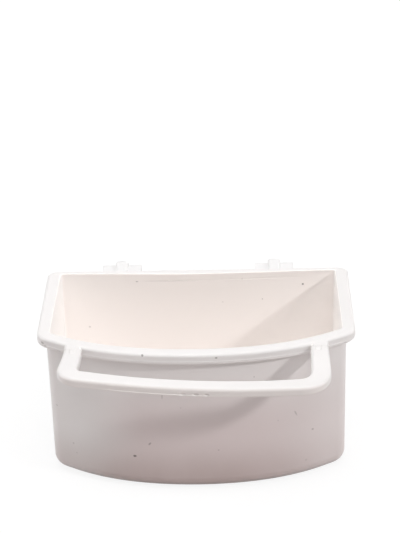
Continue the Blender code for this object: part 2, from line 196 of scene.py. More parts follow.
# Shared places worked out from the sizes above
RIM_WIDTH = WALL + RIM_OVERHANG
ARM_HALF = BAR_THICKNESS / 2
ARM_END = HINGE_Y + ARM_HALF
ARM_SWEEP = ARM_HALF * sqrt(2)  # of the square end about the pin
LUG_RADIUS = ARM_HALF - LUG_BELOW_ARM
PAD_Y = ARM_END + HINGE_GAP
BACK_FACE = MOUTH_DEPTH / 2 + WALL
RIM_BACK = BACK_FACE + RIM_BEHIND_BACK
PLATE_BACK = PLATE_FRONT + HOOK_PLATE
HOOK_TOP = HOOK_HIGH.z - RIB_HEIGHT
RAIL_TOP = HOOK_TOP - HOOK_STRAP
TIP_BACK = HOOK_HIGH.y - RIB_HEIGHT
TIP_FRONT = TIP_BACK - HOOK_STRAP
BEND_CENTRE = (TIP_BACK - HOOK_BEND, HOOK_TOP - HOOK_BEND)


def mesh_object(name, points, faces):
    """A mesh object with its faces pointing out."""
    mesh = bpy.data.meshes.new(name)
    mesh.from_pydata(points, [], faces)
    shape = bmesh.new()
    shape.from_mesh(mesh)
    bmesh.ops.recalc_face_normals(shape, faces=shape.faces)
    shape.to_mesh(mesh)
    shape.free()
    made = bpy.data.objects.new(name, mesh)
    bpy.context.scene.collection.objects.link(made)
    return made


def loft(name, rings):
    """A closed body through rings of equally many points, with a flat cap at each end."""
    count = len(rings[0])
    points = [point for ring in rings for point in ring]
    faces = [list(range(count)), list(range(len(points) - count, len(points)))]
    for first in range(0, len(points) - count, count):
        for here in range(count):
            after = (here + 1) % count
            faces.append((first + here, first + after, first + count + after, first + count + here))
    return mesh_object(name, points, faces)


def combine(target, tool, operation):
    """Joins the tool to the target, or cuts it out of the target, and removes the tool."""
    change = target.modifiers.new(operation.lower(), "BOOLEAN")
    change.operation = operation
    change.object = tool
    graph = bpy.context.evaluated_depsgraph_get()
    result = bpy.data.meshes.new_from_object(target.evaluated_get(graph))
    target.modifiers.clear()
    target.data = result
    bpy.data.objects.remove(tool)


def joined(pieces):
    """Several small bodies made into one."""
    whole = pieces[0]
    for piece in pieces[1:]:
        combine(whole, piece, "UNION")
    return whole


def arc(centre, radius, start, end, steps):
    """Points on an arc in a plane, from one angle to another."""
    angles = [start + (end - start) * step / steps for step in range(steps + 1)]
    return [(centre[0] + radius * cos(a), centre[1] + radius * sin(a)) for a in angles]


def run(start, end, steps):
    """Points of a straight run between two ends, without the ends."""
    return [tuple(Vector(start).lerp(Vector(end), step / steps)) for step in range(1, steps)]


def fillet(before, corner, after, radius, steps):
    """Points of the arc that rounds a corner between two straight runs."""
    corner = Vector(corner)
    back = (Vector(before) - corner).normalized()
    on = (Vector(after) - corner).normalized()
    half = back.angle(on) / 2
    centre = corner + (back + on).normalized() * radius / sin(half)
    first = corner + back * radius / tan(half) - centre
    last = corner + on * radius / tan(half) - centre
    start = atan2(first.y, first.x)
    turn = atan2(first.x * last.y - first.y * last.x, first.dot(last))
    return arc(centre, radius, start, start + turn, steps)


def rounded(corners, radius):
    """A closed outline with each of its corners rounded."""
    outline = []
    for here, corner in enumerate(corners):
        after = corners[(here + 1) % len(corners)]
        outline += fillet(corners[here - 1], corner, after, radius, EDGE_STEPS)
    return outline


def inset(outline, depth):
    """A closed anticlockwise outline moved inwards."""
    moved = []
    for here, point in enumerate(outline):
        point = Vector(point)
        arriving = (point - Vector(outline[here - 1])).normalized()
        leaving = (Vector(outline[(here + 1) % len(outline)]) - point).normalized()
        inwards = (arriving + leaving).orthogonal() / (1 + arriving.dot(leaving))
        moved.append(tuple(point + inwards * depth))
    return moved


def soft_prism(name, outline, low, high, edge, along):
    """An outline drawn out along X or Z between two levels, with rounded edges at both ends."""
    points = [Vector(point) for point in outline]
    area = sum(points[here - 1].cross(point) for here, point in enumerate(points))
    if area < 0:
        outline = outline[::-1]
    levels = []
    for step in range(EDGE_STEPS + 1):
        turn = pi / 2 * step / EDGE_STEPS
        levels.append((edge * (1 - sin(turn)), edge * (1 - cos(turn))))
    ends = [(depth, low + up) for depth, up in levels]
    ends += [(depth, high - down) for depth, down in reversed(levels)]
    rings = []
    for depth, place in ends:
        ring = inset(outline, depth)
        rings.append([(place, a, b) if along == "X" else (a, b, place) for a, b in ring])
    return loft(name, rings)


def soften(piece, look):
    """Gives a piece its finish and smooth shading that keeps flat faces flat."""
    mesh = piece.data
    mesh.name = piece.name
    mesh.materials.clear()
    mesh.materials.append(look)
    mesh.shade_smooth()
    mesh.set_sharp_from_angle(angle=SHARP_ANGLE)
    even = piece.modifiers.new("even_normals", "WEIGHTED_NORMAL")
    even.keep_sharp = True


def front_rise(half, bow, x):
    """How far the bowed front stands behind its middle at x."""
    u = x / half
    return bow * ((1 - FRONT_SQUARENESS) * u**2 + FRONT_SQUARENESS * u**4)


def front_slope(half, bow, x):
    u = x / half
    return bow / half * (2 * (1 - FRONT_SQUARENESS) * u + 4 * FRONT_SQUARENESS * u**3)


def level(grow, z):
    """Half widths and y at the front and the back, and the bow, of the wall grown from its inner face."""
    grow -= (CUP_HEIGHT - z) * tan(DRAFT)
    half = MOUTH_WIDTH_FRONT / 2
    bow = FRONT_BOW + FRONT_BOW_EXTRA_AT_BASE * (1 - z / CUP_HEIGHT)
    end = atan(front_slope(half, bow, half))
    bow += grow * (1 + tan(end) - 1 / cos(end))
    depth = MOUTH_DEPTH / 2 + grow
    return half + grow, MOUTH_WIDTH_BACK / 2 + grow, -depth, depth, bow


def front_face(x, grow, z=CUP_HEIGHT):
    """y of the bowed front at x."""
    half, _, front, _, bow = level(grow, z)
    return front + front_rise(half, bow, x)


def back_rise(half, grow, x, z):
    """How far the inner back wall stands in front of its ends at x; the outer face is straight."""
    if grow > RIM_INNER_EDGE:
        return 0.0
    return BACK_BOW * (z / CUP_HEIGHT) ** 2 * (1 - (x / half) ** 2) ** 2


def inner_back(x, z):
    """y of the inner back wall at x."""
    _, half, _, back, _ = level(0.0, z)
    return back - back_rise(half - BACK_CORNER, 0.0, x, z)


def cup_ring(grow, z):
    """The cup's outline at a height: right side, bowed front, left side and back."""
    half_front, half_back, front, back, bow = level(grow, z)
    corner = FRONT_CORNER_AT_BASE + (FRONT_CORNER_AT_RIM - FRONT_CORNER_AT_BASE) * z / CUP_HEIGHT
    corner += max(grow, 0.0)
    end = half_front - corner
    slope = front_slope(half_front, bow, end)
    taper = (half_front - half_back) / (front + bow - back)
    # The side meets the front's last tangent here
    tip_y = front + front_rise(half_front, bow, end) + slope * (half_back - end - taper * back)
    tip_y /= 1 - slope * taper
    tip = (half_back + taper * (tip_y - back), tip_y)
    front_end = (end, front + front_rise(half_front, bow, end))
    back_corner = fillet((0, back), (half_back, back), tip, BACK_CORNER + max(grow, 0.0), ROUND_STEPS)
    front_corner = fillet((half_back, back), tip, front_end, corner, CORNER_STEPS)
    right = back_corner + run(back_corner[-1], front_corner[0], SIDE_STEPS) + front_corner
    for step in range(FRONT_STEPS):
        x = end * (1 - step / FRONT_STEPS)
        right.append((x, front + front_rise(half_front, bow, x)))
    left = [(-x, y) for x, y in reversed(right)]
    ring = right + [(0.0, front)] + left
    for x, y in run(left[-1], right[0], BACK_STEPS):
        ring.append((x, y - back_rise(right[0][0], grow, x, z)))
    return [(x, y, z) for x, y in ring]


def rim_profile():
    """(grow, z) over the rim, from the inner wall's top to the outer wall's top."""
    shoulder = CUP_HEIGHT - RIM_CROWN
    face = RIM_WIDTH - BEAD_PROUD
    inner, outer = RIM_INNER_EDGE, face - RIM_OUTER_EDGE
    profile = arc((inner, shoulder - inner), inner, pi, pi / 2, EDGE_STEPS)
    for step in range(1, CROWN_STEPS):
        across = step / CROWN_STEPS
        rise = RIM_CROWN * (1 - (2 * across - 1) ** 2)
        profile.append((inner + (outer - inner) * across, shoulder + rise))
    profile += arc((outer, shoulder - RIM_OUTER_EDGE), RIM_OUTER_EDGE, pi / 2, 0, EDGE_STEPS)
    under = CUP_HEIGHT - RIM_HEIGHT
    bead_round = (BEAD_HALF_HEIGHT**2 + BEAD_PROUD**2) / (2 * BEAD_PROUD)
    bead_end = asin(BEAD_HALF_HEIGHT / bead_round)
    bead = (RIM_WIDTH - bead_round, under + BEAD_ABOVE_LIP)
    profile += arc(bead, bead_round, bead_end, -bead_end, EDGE_STEPS)
    profile += arc((face - LIP_EDGE, under + LIP_EDGE), LIP_EDGE, 0, -pi / 2, EDGE_STEPS)
    lip = RIM_WIDTH - RIM_LIP
    edge = (lip + LIP_INSIDE_EDGE, under + LIP_INSIDE_EDGE)
    profile += arc(edge, LIP_INSIDE_EDGE, -pi / 2, -pi, EDGE_STEPS)
    crease_z = CUP_HEIGHT - RIM_FLANGE - FLANGE_CREASE
    profile += arc((lip - FLANGE_CREASE, crease_z), FLANGE_CREASE, 0, pi / 2, EDGE_STEPS)
    profile += arc((WALL + FLANGE_CREASE, crease_z), FLANGE_CREASE, pi / 2, pi, EDGE_STEPS)
    return profile


def cup_profile():
    """(grow, z) of the cup's wall, from the inner floor over the rim to the base."""
    floor_end = (0.0, FLOOR + FLOOR_ROUND)
    seam = CUP_HEIGHT - SEAM_BELOW_TOP
    rim = rim_profile()
    profile = arc((-FLOOR_ROUND, floor_end[1]), FLOOR_ROUND, -pi / 2, 0, ROUND_STEPS)
    profile += run(floor_end, (0.0, seam - SEAM_HALF_HEIGHT), WALL_STEPS)
    profile += [(0.0, seam + rise) for rise in (-SEAM_HALF_HEIGHT, 0.0, SEAM_HALF_HEIGHT)]
    profile += rim
    profile += run(rim[-1], (WALL, BASE_ROUND), WALL_STEPS)
    profile += arc((WALL - BASE_ROUND, BASE_ROUND), BASE_ROUND, 0, -pi / 2, ROUND_STEPS)
    return profile


def spoke_ring(outline, share, radius, z):
    """A ring part of the way from an outline to a round mark in the middle of the base."""
    ring = []
    for x, y, _ in outline:
        spoke = Vector((x, y - MARK_Y))
        spoke = spoke.lerp(spoke.normalized() * radius, share)
        ring.append((spoke.x, spoke.y + MARK_Y, z))
    return ring


def cup_rings():
    """Rings of the cup from the ejector mark inside, over the rim, to the gate mark under the base."""
    wall = [cup_ring(grow, z) for grow, z in cup_profile()]
    floor, base = wall[0], wall[-1]
    shares = [step / SPOKE_STEPS for step in range(1, SPOKE_STEPS + 1)]
    inside = [spoke_ring(floor, share, EJECTOR_RADIUS, FLOOR) for share in shares]
    inside.append(spoke_ring(floor, 1.0, EJECTOR_RADIUS - EJECTOR_DEPTH, FLOOR - EJECTOR_DEPTH))
    under = [spoke_ring(base, share, GATE_RADIUS, 0.0) for share in shares]
    under.append(spoke_ring(base, 1.0, GATE_RADIUS - GATE_DEPTH / 2, GATE_DEPTH))
    under.append(spoke_ring(base, 1.0, GATE_NUB_RADIUS, GATE_DEPTH))
    tip = GATE_NUB_RADIUS * GATE_NUB_TAPER
    under.append(spoke_ring(base, 1.0, tip, GATE_DEPTH - GATE_NUB_HEIGHT))
    return inside[::-1] + wall + under


def press_seam(cup):
    """Presses the mould's fine line into the inside of the back wall, fading out at both ends."""
    seam = CUP_HEIGHT - SEAM_BELOW_TOP
    middle, half = (SEAM_LEFT + SEAM_RIGHT) / 2, (SEAM_RIGHT - SEAM_LEFT) / 2
    for vertex in cup.data.vertices:
        x, y, z = vertex.co
        if abs(z - seam) < SEAM_HALF_HEIGHT / 2 and abs(y - inner_back(x, z)) < SEAM_DEPTH:
            vertex.co.y += SEAM_DEPTH * max(0.0, 1 - ((x - middle) / half) ** 4)


def arm_end_x(side):
    """x of the middle of an arm's end."""
    return side * (ARM_X + ARM_OUT[side] - ARM_SPLAY[side] * ARM_HALF)


def hinge_pad(side):
    """The pad between the rim's wall and an arm's square end, which carries on the arm's own section."""
    x = arm_end_x(side)
    width = ARM_BAND_AT_HINGE
    low, high = front_face(x - width / 2, WALL / 2), front_face(x + width / 2, WALL / 2)
    near, far = [], []
    for across, up in band_section(width, 0.0):
        share = across / width + 0.5
        near.append((x + across, PAD_Y, HINGE_Z + up))
        far.append((x + across, low + (high - low) * share, HINGE_Z + up))
    return loft("pad", [near, far])


def hinge_lug(side):
    """The lug that carries an arm, rooted in its pad behind the room that the arm's end turns in."""
    x = side * ARM_X
    in_pad = PAD_Y + RIM_LIP
    outline = arc((HINGE_Y, HINGE_Z), LUG_RADIUS, pi / 2, 3 * pi / 2, PIN_SIDES // 2)
    outline += [(in_pad, HINGE_Z - LUG_RADIUS), (in_pad, HINGE_Z + LUG_RADIUS)]
    return soft_prism("lug", outline, x - LUG_WIDTH / 2, x + LUG_WIDTH / 2, FINE_EDGE, "X")


def rim_cut():
    """What is cut off the rim behind the back wall, with round corners and a round top edge."""
    half_front, half_back, front, back, bow = level(RIM_WIDTH, CUP_HEIGHT)
    taper = (half_front - half_back) / (front + bow - back)
    side = half_back + taper * (RIM_BACK - back) + RIM_CUT_CLEAR
    ahead = (half_front + RIM_CUT_CLEAR, front + bow)
    levels = [(0.0, CUP_HEIGHT - 2 * RIM_HEIGHT)]
    levels += arc((RIM_BACK_EDGE, CUP_HEIGHT - RIM_BACK_EDGE), RIM_BACK_EDGE, pi, pi / 2, EDGE_STEPS)
    levels.append((RIM_BACK_EDGE, CUP_HEIGHT + RIM_HEIGHT))
    rings = []
    for depth, z in levels:
        corner = (side - depth, RIM_BACK - depth)
        bend = fillet(ahead, corner, (0, corner[1]), RIM_BACK_CORNER, CORNER_STEPS)
        plan = [(MOUTH_WIDTH_FRONT, bend[0][1])] + bend
        plan += [(-x, y) for x, y in reversed(plan)]
        plan += [(-MOUTH_WIDTH_FRONT, MOUTH_DEPTH), (MOUTH_WIDTH_FRONT, MOUTH_DEPTH)]
        rings.append([(x, y, z) for x, y in plan])
    return loft("rim_cut", rings)


def hook_rails(side):
    """Two rails on the outside of the back wall, open below, that hold one hook's plate."""
    lip_edge = HOOK_WIDTH / 2 + GAP
    stem_edge = lip_edge + HOOK_EAR
    outside = stem_edge + RAIL_STEM
    root = BACK_FACE - RAIL_IN_WALL
    lip_front = PLATE_BACK + GAP
    low = RAIL_TOP - RAIL_LENGTH
    outline = [(lip_edge, root), (outside, root), (outside, RAIL_BACK), (lip_edge, RAIL_BACK)]
    outline = rounded(outline, SOFT_CORNER)
    ahead = root - RAIL_IN_WALL
    room = [(0.0, ahead), (stem_edge, ahead), (stem_edge, lip_front), (0.0, lip_front)]
    room = rounded(room, FINE_CORNER)
    rails = []
    for mirror in SIDES:
        placed = [(side * HOOK_X + mirror * x, y) for x, y in outline]
        rail = soft_prism("rail", placed, low, RAIL_TOP, SOFT_EDGE, "Z")
        placed = [(side * HOOK_X + mirror * x, y) for x, y in room]
        channel = soft_prism("channel", placed, low - RAIL_CAP, RAIL_TOP - RAIL_CAP, FINE_EDGE, "Z")
        combine(rail, channel, "DIFFERENCE")
        rails.append(rail)
    return rails


def hinge_circle(x, radius):
    circle = arc((HINGE_Y, HINGE_Z), radius, 0, 2 * pi * (1 - 1 / PIN_SIDES), PIN_SIDES - 1)
    return [(x, y, z) for y, z in circle]


def hinge_round(x, radius, length):
    """A round body along the hinge axis, to be cut out of a pad, a lug or an arm."""
    return loft("bore", [hinge_circle(end, radius) for end in (x - length / 2, x + length / 2)])


def make_cup(look):
    cup = loft("cup_moulding", cup_rings())
    press_seam(cup)
    combine(cup, rim_cut(), "DIFFERENCE")
    combine(cup, joined([hinge_pad(side) for side in SIDES]), "UNION")
    room = (ARM_SWEEP + HINGE_GAP, BAR_BAND)
    combine(cup, joined([hinge_round(arm_end_x(side), *room) for side in SIDES]), "DIFFERENCE")
    added = []
    for side in SIDES:
        added.append(hinge_lug(side))
        added += hook_rails(side)
    combine(cup, joined(added), "UNION")
    bore = (PIN_RADIUS + GAP, BAR_BAND)
    combine(cup, joined([hinge_round(side * ARM_X, *bore) for side in SIDES]), "DIFFERENCE")
    soften(cup, look)
    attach(cup, "cup")
    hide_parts("feed_cup")


def bar_rise(x):
    """How far the bowed bar stands behind its middle at x."""
    return BAR_BOW * (x / ARM_X) ** 2


def bar_half(side):
    """(x, y) along the band from one hinge to just before the bar's middle, as on the right."""
    corner = BAR_INNER_CORNER[side] + BAR_BAND / 2
    arm_x, splay = ARM_X + ARM_OUT[side], ARM_SPLAY[side]
    middle = HINGE_Y - BAR_REACH
    end = ARM_X - BOW_END * corner
    end_y = middle + bar_rise(end)
    slope = 2 * bar_rise(end) / end
    # The arm meets the bar's last tangent here
    tip_x = (arm_x + splay * (HINGE_Y - end_y + slope * end)) / (1 + splay * slope)
    tip = (tip_x, end_y + slope * (tip_x - end))
    bend = fillet((arm_x, HINGE_Y), tip, (end, end_y), corner, 2 * CORNER_STEPS)
    root_x = side * arm_end_x(side)
    right = [(root_x, ARM_END), (root_x, ARM_END - ARM_END_RUN)]
    right += run(right[-1], bend[0], ARM_STEPS) + bend
    for step in range(1, BAR_STEPS // 2):
        x = end * (1 - 2 * step / BAR_STEPS)
        right.append((x, middle + bar_rise(x)))
    return right


def bar_plan():
    """(x, y) along the middle of the band, from the right hinge round to the left one."""
    left = [(-x, y) for x, y in reversed(bar_half(LEFT))]
    return bar_half(RIGHT) + [(0.0, HINGE_Y - BAR_REACH)] + left


def ledge_depth(x):
    """Depth at x of the fine ledge along the bar's lower front edge."""
    inside = min(x - LEDGE_LEFT, LEDGE_RIGHT - x) / LEDGE_RUN_OUT
    return BAR_LEDGE * min(max(inside, 0.0), 1.0)


def along_arm(y):
    """How far along an arm y lies: 0 up to the hinge, and 1 from the bar's corners on."""
    return min(max((HINGE_Y - y) / (BAR_REACH - BAR_BOW), 0.0), 1.0)


def band_width(x, y):
    """Width of the band, which grows along each arm and is even in the middle of the bar."""
    out = min(max((abs(x) - ARM_BAND_FROM) / (ARM_BAND_FULL - ARM_BAND_FROM), 0.0), 1.0)
    at_corner = ARM_BAND_AT_CORNER[LEFT if x < 0 else RIGHT]
    arm = ARM_BAND_AT_HINGE + (at_corner - ARM_BAND_AT_HINGE) * along_arm(y)
    return BAR_BAND + (arm - BAR_BAND) * out


def band_section(width, ledge):
    """(across, up) points round the band, with tight lower edges and a ledge over the front one."""
    half_width, half_height = width / 2, BAR_THICKNESS / 2
    corners = [(1, 1, BAR_TOP_EDGE), (-1, 1, BAR_TOP_EDGE)]
    corners += [(-1, -1, BAR_LOWER_EDGE), (1, -1, BAR_LOWER_EDGE)]
    section = []
    for quarter, (side, rise, edge) in enumerate(corners):
        centre = (side * (half_width - edge), rise * (half_height - edge))
        if not section:
            centre = (centre[0] - ledge, centre[1])
        turned = arc(centre, edge, quarter * pi / 2, (quarter + 1) * pi / 2, EDGE_STEPS)
        if section:
            section += run(section[-1], turned[0], FACE_STEPS)
        section += turned
    foot = section[-1]
    step = (foot[0] - ledge, foot[1] + BAR_LEDGE)
    return section + [step] + run(step, section[0], FACE_STEPS)


def bar_height(x, y):
    """Height of the twisted band's middle: level at the hinge, out of level at the bar."""
    along = along_arm(y)
    return HINGE_Z - x * tan(BAR_TWIST) * along**2 * (3 - 2 * along)


def press_nicks(bar):
    """Presses small nicks into the bar's front face, just above its lower edge."""
    for place in NICK_PLACES:
        face_y = HINGE_Y - BAR_REACH + bar_rise(place) - BAR_BAND / 2
        foot_z = bar_height(place, face_y) - BAR_THICKNESS / 2 + BAR_LOWER_EDGE + NICK_HEIGHT / 2
        for vertex in bar.data.vertices:
            x, y, z = vertex.co
            away = Vector(((x - place) / NICK_LENGTH, (z - foot_z) / NICK_HEIGHT)).length
            if away < 1 and abs(y - face_y) < NICK_LENGTH:
                vertex.co.y += NICK_DEPTH * (1 - away**2) ** 2


def fork_slot(side):
    """The room for the lug between the two cheeks of an arm's end."""
    front = HINGE_Y - LUG_RADIUS - HINGE_GAP
    behind = HINGE_Y + BAR_THICKNESS
    half = LUG_WIDTH / 2 + HINGE_GAP
    low, high = side * ARM_X - half, side * ARM_X + half
    plan = [(low, front), (high, front), (high, behind), (low, behind)]
    low, high = HINGE_Z - BAR_THICKNESS, HINGE_Z + BAR_THICKNESS
    return soft_prism("slot", rounded(plan, FINE_CORNER), low, high, FINE_EDGE, "Z")


def make_bar(look):
    route = [Vector((x, y, bar_height(x, y))) for x, y in bar_plan()]
    rings = []
    for here, point in enumerate(route):
        onwards = route[min(here + 1, len(route) - 1)] - route[max(here - 1, 0)]
        across = Vector((-onwards.y, onwards.x, 0.0)).normalized()
        up = onwards.cross(across).normalized()
        section = band_section(band_width(point.x, point.y), ledge_depth(point.x))
        rings.append([point + across * a + up * u for a, u in section])
    bar = loft("bar_moulding", rings)
    press_nicks(bar)
    cuts = [fork_slot(side) for side in SIDES]
    cuts += [hinge_round(side * ARM_X, PIN_RADIUS + GAP, 2 * BAR_BAND) for side in SIDES]
    combine(bar, joined(cuts), "DIFFERENCE")
    soften(bar, look)
    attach(bar, "bar")
    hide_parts("front_bar")


def make_pin(word, side, look):
    """A drawn steel pin with chamfered ends, just short of the arm's sides."""
    half = ARM_BAND_AT_HINGE / 2 - PIN_INSET
    ends = [(-half, PIN_RADIUS - PIN_CHAMFER), (-half + PIN_CHAMFER, PIN_RADIUS)]
    ends += [(-place, radius) for place, radius in reversed(ends)]
    pin = loft("pin_" + word, [hinge_circle(arm_end_x(side) + place, radius) for place, radius in ends])
    soften(pin, look)
    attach(pin, "cup")
    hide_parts("hinge_pin_" + word)


def hook_side_view():
    """(y, z) round the plate, the strap and the tip."""
    bottom = HOOK_LOW.z
    under = RAIL_TOP
    tip = HOOK_TOP - HOOK_TIP_LENGTH
    tip_round = HOOK_STRAP / 2
    throat = (TIP_FRONT - HOOK_THROAT_ROUND, under - HOOK_THROAT_ROUND)
    inside = (PLATE_BACK + HOOK_THROAT_ROUND, under - HOOK_THROAT_ROUND)
    plate = [(PLATE_BACK, under), (PLATE_BACK, bottom), (PLATE_FRONT, bottom), (PLATE_FRONT, HOOK_TOP)]
    plate.append((TIP_BACK, HOOK_TOP))
    view = []
    for before, corner, after in zip(plate, plate[1:], plate[2:]):
        view += fillet(before, corner, after, SOFT_CORNER, EDGE_STEPS)
    view += arc(BEND_CENTRE, HOOK_BEND, pi / 2, 0, ROUND_STEPS)
    view += arc((TIP_FRONT + tip_round, tip + tip_round), tip_round, 0, -pi, 2 * ROUND_STEPS)
    view += arc(throat, HOOK_THROAT_ROUND, 0, pi / 2, ROUND_STEPS)
    return view + arc(inside, HOOK_THROAT_ROUND, pi / 2, pi, ROUND_STEPS)


def hook_ears(x):
    """Edges of the plate that run in the rails."""
    inside = HOOK_WIDTH / 2 - HOOK_EAR
    outside = HOOK_WIDTH / 2 + HOOK_EAR
    front = PLATE_FRONT + HOOK_EAR_RELIEF
    back = PLATE_BACK - HOOK_EAR_RELIEF
    high = RAIL_TOP - RAIL_CAP - GAP
    low = HOOK_LOW.z + HOOK_EAR
    plan = rounded([(inside, front), (outside, front), (outside, back), (inside, back)], SOFT_CORNER)
    ears = []
    for mirror in SIDES:
        placed = [(x + mirror * a, y) for a, y in plan]
        ears.append(soft_prism("ear", placed, low, high, SOFT_EDGE, "Z"))
    return ears


def rib_side_view(height):
    """(y, z) round the rib, which stands this high on the strap and on the back of the tip."""
    start = RIM_BACK + GAP
    end = HOOK_TOP - HOOK_TIP_LENGTH / 2
    outer = [(start, HOOK_TOP + height)]
    outer += arc(BEND_CENTRE, HOOK_BEND + height, pi / 2, 0, ROUND_STEPS)
    outer += [(TIP_BACK + height, end), (TIP_BACK - RIB_SUNK, end - RIB_RUN_OUT)]
    inner = [(start, HOOK_TOP - RIB_SUNK)]
    inner += arc(BEND_CENTRE, HOOK_BEND - RIB_SUNK, pi / 2, 0, ROUND_STEPS)
    return outer + inner[::-1]


def hook_rib(x):
    """A round-topped rib along the middle of the strap and down the back of the tip."""
    edge = arc((RIB_WIDTH / 2 - RIB_ROUND, RIB_HEIGHT - RIB_ROUND), RIB_ROUND, 0, pi / 2, EDGE_STEPS)
    across = [(x + a, height) for a, height in edge]
    across += [(x - a, height) for a, height in reversed(edge)]
    return loft("rib", [[(place, y, z) for y, z in rib_side_view(height)] for place, height in across])


def make_hook(word, side, look):
    x = side * HOOK_X
    half = HOOK_WIDTH / 2
    hook = soft_prism("hook_moulding_" + word, hook_side_view(), x - half, x + half, SOFT_EDGE, "X")
    for ear in hook_ears(x):
        combine(hook, ear, "UNION")
    combine(hook, hook_rib(x), "UNION")
    soften(hook, look)
    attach(hook, "hook_" + word)
    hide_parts("cage_hook_" + word)


# Finishes
PLASTIC_COLOURS = ((0.825, 0.802, 0.794, 1.0), (0.817, 0.792, 0.782, 1.0))
HOOK_COLOURS = ((0.832, 0.822, 0.820, 1.0), (0.824, 0.813, 0.809, 1.0))
INSIDE_PAINTED_LIGHT = (0.990, 0.938, 0.908, 1.0)  # painted light: the inside is lighter and creamier than the outside, for light that bounces round in the cup and shines through its walls
# painted light: the inside's side walls, lit from the sides, are whiter still
INSIDE_ENDS_PAINTED_LIGHT = (0.985, 0.962, 0.948, 1.0)
CUP_MIDDLE = (0.0, 0.0, 0.070)
FRONT_PAINTED_SHADE = (0.725, 0.640, 0.632, 1.0)  # painted shade with a pink tint over the middle of the bowed front
UPRIGHT_FACE_PAINTED_SHADE = (0.810, 0.762, 0.742, 1.0)  # painted shade on the bar's and hooks' upright faces, which get less light than their tops
# painted shadow along the bottom edge of the base, where it meets the floor
BASE_EDGE_PAINTED_SHADOW = (0.20, 0.16, 0.145, 1.0)
FOOT_PAINTED_SHADE = (0.470, 0.375, 0.355, 1.0)  # painted shade that deepens towards the foot of the wall
SPECK_COLOUR = (0.10, 0.075, 0.065, 1.0)
STEEL_COLOUR = (0.62, 0.61, 0.60, 1.0)
STEEL_SHADE = (0.46, 0.45, 0.44, 1.0)
WHITE = (1.0, 1.0, 1.0, 1.0)
CUP_ROUGHNESS = 0.42
BAR_ROUGHNESS = 0.40
HOOK_ROUGHNESS = 0.42
STEEL_ROUGHNESS = (0.22, 0.40)
PLASTIC_IOR = 1.46

# Textures: scales, the levels that a noise or a direction is cut at, and bumps as (distance, strength)
MOST_OF_NOISE = (0.35, 0.65)
NEARLY_ALL_OF_NOISE = (0.30, 0.70)
MOTTLE_SCALE = 34.0
DUST_SCALE = 45.0
DUST_SIZE = (0.006, 0.020)
DUST_STRENGTH = 0.22
NO_TURN = (0.0, 0.0, 0.0)
SCUFF_TURN = (0.3, 0.5, 0.2)
SCUFF_SCALE = (70.0, 900.0, 900.0)
SCUFF_LEVELS = (0.60, 0.72)
SCUFF_ROUGHNESS = 0.12
SCUFF_BUMP = (0.00001, 0.4)
RUB_SCALE = 90.0
RUB_LEVELS = (0.35, 0.70)
RUB_ROUGHNESS = 0.03
RIPPLE_SCALE = 70.0
RIPPLE_BUMP = (0.00004, 0.15)
GRAIN_SCALE = 2600.0
GRAIN_BUMP = (0.00002, 0.35)
DRAWN_SCALE = (150.0, 5000.0, 5000.0)
DRAWN_BUMP = (0.00001, 0.5)
INSIDE_LEVELS = (-0.012, -0.004)
FACING_LEVELS = (0.3, 0.8)

# Where the painted shade on the cup's outside starts and ends: pink-tinted shade over the front, shade
# that deepens towards the foot, and a painted shadow along the base edge
FRONT_SHADE_Y = (-0.020, 0.0)
FRONT_SHADE_Z = (0.030, 0.074)
FRONT_SHADE_LEFT = (-0.056, -0.022)
FRONT_SHADE_RIGHT = (0.025, 0.070)
FRONT_SHADE_AT_RIGHT_END = 0.55
FOOT_SHADE_Y = (-0.038, -0.020)
FOOT_SHADE_RIGHT = (0.0, 0.065)
FOOT_SHADE_AT_ENDS = 0.5
FOOT_SHADE_Z = (0.002, 0.030)
FOOT_SHADE_STRENGTH = 0.85
FOOT_SHADE_SCALE = (60.0, 60.0, 25.0)
FOOT_SHADE_THINNEST = 0.8
BASE_EDGE_SHADOW_Z = (0.0, 0.005)
BASE_EDGE_SHADOW_STRENGTH = 0.85

# Dirt specks seen on the cup: (x, z), half width, half height, tilt in degrees, strength
FRONT_SPECKS = (
    ((0.0270, 0.0603), 0.0005, 0.0004, 0, 0.35),
    ((-0.0161, 0.0512), 0.0004, 0.0018, 0, 0.26),
    ((-0.0076, 0.0453), 0.0004, 0.0006, 0, 0.16),
    ((-0.0227, 0.0251), 0.0006, 0.0013, 35, 0.45),
    ((-0.0301, 0.0176), 0.0011, 0.0008, 0, 0.85),
    ((-0.0598, 0.0183), 0.0006, 0.0008, 0, 0.22),
    ((-0.0584, 0.0133), 0.0005, 0.0005, 0, 0.22),
    ((-0.0670, 0.0373), 0.0008, 0.0005, 30, 0.22),
    ((0.0463, 0.0372), 0.0005, 0.0022, -22, 0.28),
    ((0.0543, 0.0261), 0.0008, 0.0007, 0, 0.34),
    ((0.0379, 0.0349), 0.0004, 0.0006, 0, 0.18),
    ((0.0097, 0.0219), 0.0006, 0.0005, 0, 0.34),
    ((0.0510, 0.0097), 0.0009, 0.0008, 0, 0.16),
)
RIM_SPECKS = (
    ((-0.0244, 0.0752), 0.0008, 0.0008, 0, 0.62),
    ((0.0097, 0.0742), 0.0008, 0.0006, 0, 0.55),
    ((-0.0720, 0.0731), 0.0014, 0.0011, 0, 0.40),
    ((-0.0706, 0.0721), 0.0014, 0.0007, 0, 0.25),
    ((-0.0640, 0.0712), 0.0016, 0.0005, 0, 0.22),
    ((0.0700, 0.0716), 0.0016, 0.0005, 20, 0.20),
)
